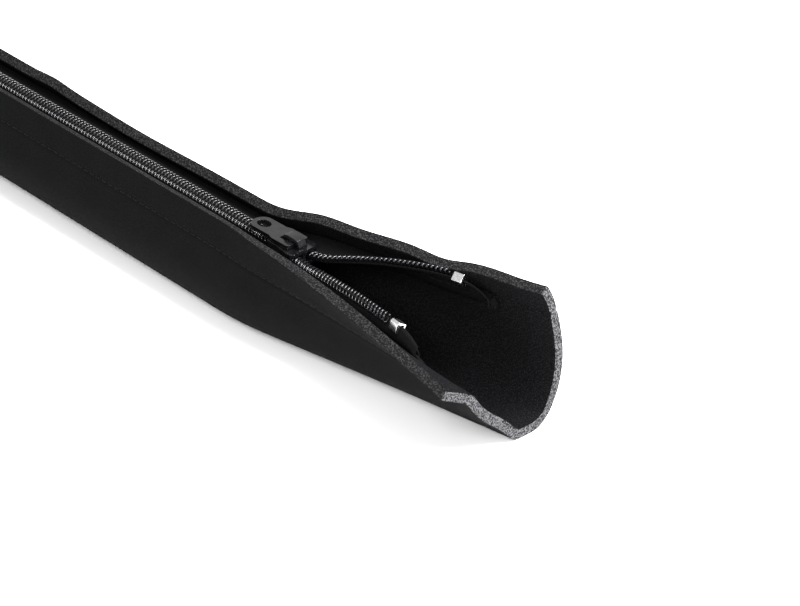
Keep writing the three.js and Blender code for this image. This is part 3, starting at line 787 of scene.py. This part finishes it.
class SLEEVE_OT_stitches(bpy.types.Operator):
    """Sews the two long seams and frays the cut ends of the tapes"""

    bl_idname = "cable_sleeve.stitches"
    bl_label = "Seams and frayed ends"

    ON_KNIT = 1.18  # distance of a stitch from the sheet's middle surface, in the pinched seam
    ON_TAPE = -2.34
    # Points of one stitch: share of its length, dip into its needle holes, and share of its radius.
    SHARES = np.array([0.04, 0.2, 0.5, 0.8, 0.96])
    DIPS = np.array([-0.3, -0.04, 0.0, -0.04, -0.3])
    TAPER = np.array([0.7, 1, 1, 1, 0.7])
    FRAYS = 16
    FRAY_FROM = 5  # first row of the tape's section that has loose ends
    FRAY_REACH = (1.0, 3.2)
    FRAY_SWAY = 0.8
    FRAY_DROP = (0.2, 1.1)

    def execute(self, context):
        scene, roll, chain = settings()
        thread = bpy.data.materials["spun_polyester_thread"]
        length = scene.sleeve_sizes.stitch / MM
        for side, name in SIDE_NAMES.items():
            bm = bmesh.new()
            tape_start = roll.closed_end + TAPE_END_INSET
            tape_end = chain.open_zip + STOP_LENGTH + TAIL_LENGTH
            for start in np.arange(tape_start + 1, tape_end - length, length):
                s = start + self.SHARES * length
                for lift in (self.ON_KNIT, self.ON_TAPE):
                    dipped = lift + self.DIPS * math.copysign(1, lift)
                    tube_into(bm, roll.point(s, roll.seam(side), dipped), STITCH_RADIUS * self.TAPER)
            finish_tubes(bm)
            seam = piece_of("seam_thread_" + name, bm, [thread])
            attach(seam, "sleeve")
            self.fray(chain, side, name, tape_end, thread)
        return {"FINISHED"}

    def fray(self, chain, side, name, tape_end, thread):
        """Loose weft ends that hang from the cut end of a tape."""
        chance = random.Random(7 + side)
        row = chain.tape_rows(np.array([tape_end - 0.3]), side)[0]
        bm = bmesh.new()
        for _ in range(self.FRAYS):
            at = chance.uniform(self.FRAY_FROM, len(row) - 1.01)
            k = int(at)
            start = row[k] + (row[k + 1] - row[k]) * (at - k)
            reach = chance.uniform(*self.FRAY_REACH)
            sway = chance.uniform(-self.FRAY_SWAY, self.FRAY_SWAY)
            t = np.linspace(0, 1, 6)[:, None]
            drop = np.array([0, 0, -1.0]) * reach * chance.uniform(*self.FRAY_DROP)
            places = start + t * np.array([reach * 0.7, sway, 0]) + t * t * drop
            tube_into(bm, places, FRAY_RADIUS, 4)
        finish_tubes(bm)
        frayed = piece_of("frayed_end_" + name, bm, [thread])
        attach(frayed, "sleeve")


class SLEEVE_OT_hardware(bpy.types.Operator):
    """Rounds the edges of the stops, the slider and its pull tab, and paints them"""

    bl_idname = "cable_sleeve.hardware"
    bl_label = "Slider, pull and stops"

    # CAD node, its dressed name, body, slot, and rounding of its edges.
    PARTS = [
        ("slider_body", "cast_slider", "slider", "slider", 0.25),
        ("pull_tab", "pull_plate", "pull", "slider", 0.3),
        ("top_stop_near", "clip_stop_near", "sleeve", "stop", 0.15),
        ("top_stop_far", "clip_stop_far", "sleeve", "stop", 0.15),
        ("bottom_stop", "clip_stop_bottom", "sleeve", "stop", 0.15),
    ]

    def execute(self, context):
        paint = paint_material()
        bright = bright_material()
        for node_name, name, body, slot, rounding in self.PARTS:
            bm = bmesh.new()
            bm.from_mesh(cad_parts[node_name].data)
            bmesh.ops.remove_doubles(bm, verts=bm.verts, dist=1e-7)
            bmesh.ops.dissolve_limit(bm, angle_limit=math.radians(2), verts=bm.verts, edges=bm.edges)
            bmesh.ops.recalc_face_normals(bm, faces=bm.faces)
            made = piece_of(name, bm, [paint if slot == "slider" else bright])
            bevelled(made, rounding, 3, 25)
            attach(made, body)
            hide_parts(node_name)
        return {"FINISHED"}


class SLEEVE_OT_stage(bpy.types.Operator):
    """Lays the white floor and sets the lamps and the camera"""

    bl_idname = "cable_sleeve.stage"
    bl_label = "Studio stage"

    WORLD_STRENGTH = 0.8
    # Lamp, its place from the slider in metres, its side in metres, and its watts.
    LAMPS = [
        ("key_softbox", (0.35, 0.2, 0.8), 0.5, 26.0),
        ("front_softbox", (0.4, -0.6, 0.6), 0.35, 8.0),
    ]

    def execute(self, context):
        scene, roll, chain = settings()
        self.floor()
        self.lamps(scene)
        self.camera(scene, chain)
        scene.view_settings.view_transform = "Standard"
        return {"FINISHED"}

    def floor(self):
        bm = bmesh.new()
        bmesh.ops.create_grid(bm, x_segments=1, y_segments=1, size=4)
        made, tree, shader = material("matt_white_paper", Roughness=0.9)
        shader.inputs["Base Color"].default_value = linear("ffffff")
        paper = piece_of("studio_floor", bm, [made], False)

    def lamps(self, scene):
        world = bpy.data.worlds.new("white_studio")
        scene.world = world
        world.use_nodes = True
        background = world.node_tree.nodes["Background"]
        background.inputs["Color"].default_value = (1, 1, 1, 1)
        background.inputs["Strength"].default_value = self.WORLD_STRENGTH
        for name, place, size, watts in self.LAMPS:
            light = bpy.data.lights.new(name, "AREA")
            light.shape = "SQUARE"
            light.size = size
            light.energy = watts
            lamp = bpy.data.objects.new(name, light)
            lamp.location = Vector(place) + Vector((ORIGIN_BEHIND * MM, 0, 0))
            lamp.rotation_euler = (-Vector(place)).to_track_quat("-Z", "Y").to_euler()
            scene.collection.objects.link(lamp)

    def camera(self, scene, chain):
        azimuth = math.radians(CAMERA_AZIMUTH)
        elevation = math.radians(CAMERA_ELEVATION)
        forward = Vector(
            (
                -math.sin(azimuth) * math.cos(elevation),
                math.cos(azimuth) * math.cos(elevation),
                -math.sin(elevation),
            )
        )
        right = Vector((math.cos(azimuth), math.sin(azimuth), 0))
        up = right.cross(forward)
        across = (THROAT_PIXEL[0] - IMAGE_WIDTH / 2) / FOCAL_PIXELS
        down = (THROAT_PIXEL[1] - IMAGE_HEIGHT / 2) / FOCAL_PIXELS
        ray = forward + across * right - down * up
        throat = Vector((ORIGIN_BEHIND, 0, chain.level + chain.tape / 2 + SEWN_GAP + chain.height))
        data = bpy.data.cameras.new("photo_camera")
        data.sensor_width = SENSOR_WIDTH
        data.lens = FOCAL_PIXELS * SENSOR_WIDTH / IMAGE_WIDTH
        data.clip_start = 0.01
        camera = bpy.data.objects.new("photo_camera", data)
        place = (throat - ray * THROAT_DISTANCE) * MM
        turned = Matrix((right, up, -forward)).transposed().to_4x4()
        camera.matrix_world = Matrix.Translation(place) @ turned
        scene.collection.objects.link(camera)
        scene.camera = camera


class SLEEVE_PT_panel(bpy.types.Panel):
    """Lists the steps that dress the cable sleeve"""

    bl_label = "Cable Sleeve"
    bl_idname = "SLEEVE_PT_panel"
    bl_space_type = "VIEW_3D"
    bl_region_type = "UI"
    bl_category = "Cable Sleeve"

    def draw(self, context):
        scene = context.scene
        for group in (scene.sleeve_sizes, scene.sleeve_zip, scene.sleeve_colours):
            for name in group.__annotations__:
                self.layout.prop(group, name)
        for step in STEPS:
            self.layout.operator(step.bl_idname)


STEPS = [
    SLEEVE_OT_stage,
    SLEEVE_OT_sheet,
    SLEEVE_OT_tapes,
    SLEEVE_OT_coils,
    SLEEVE_OT_stitches,
    SLEEVE_OT_hardware,
]
GROUPS = {
    "sleeve_sizes": SLEEVE_PG_sizes,
    "sleeve_zip": SLEEVE_PG_zip,
    "sleeve_colours": SLEEVE_PG_colours,
}


def register():
    for cls in (*GROUPS.values(), *STEPS, SLEEVE_PT_panel):
        bpy.utils.register_class(cls)
    for name, group in GROUPS.items():
        setattr(bpy.types.Scene, name, PointerProperty(type=group))


def unregister():
    for name in GROUPS:
        delattr(bpy.types.Scene, name)
    for cls in reversed((*GROUPS.values(), *STEPS, SLEEVE_PT_panel)):
        bpy.utils.unregister_class(cls)


def main():
    register()
    for step in STEPS:
        group, name = step.bl_idname.split(".")
        getattr(getattr(bpy.ops, group), name)()


if __name__ == "__main__":
    main()
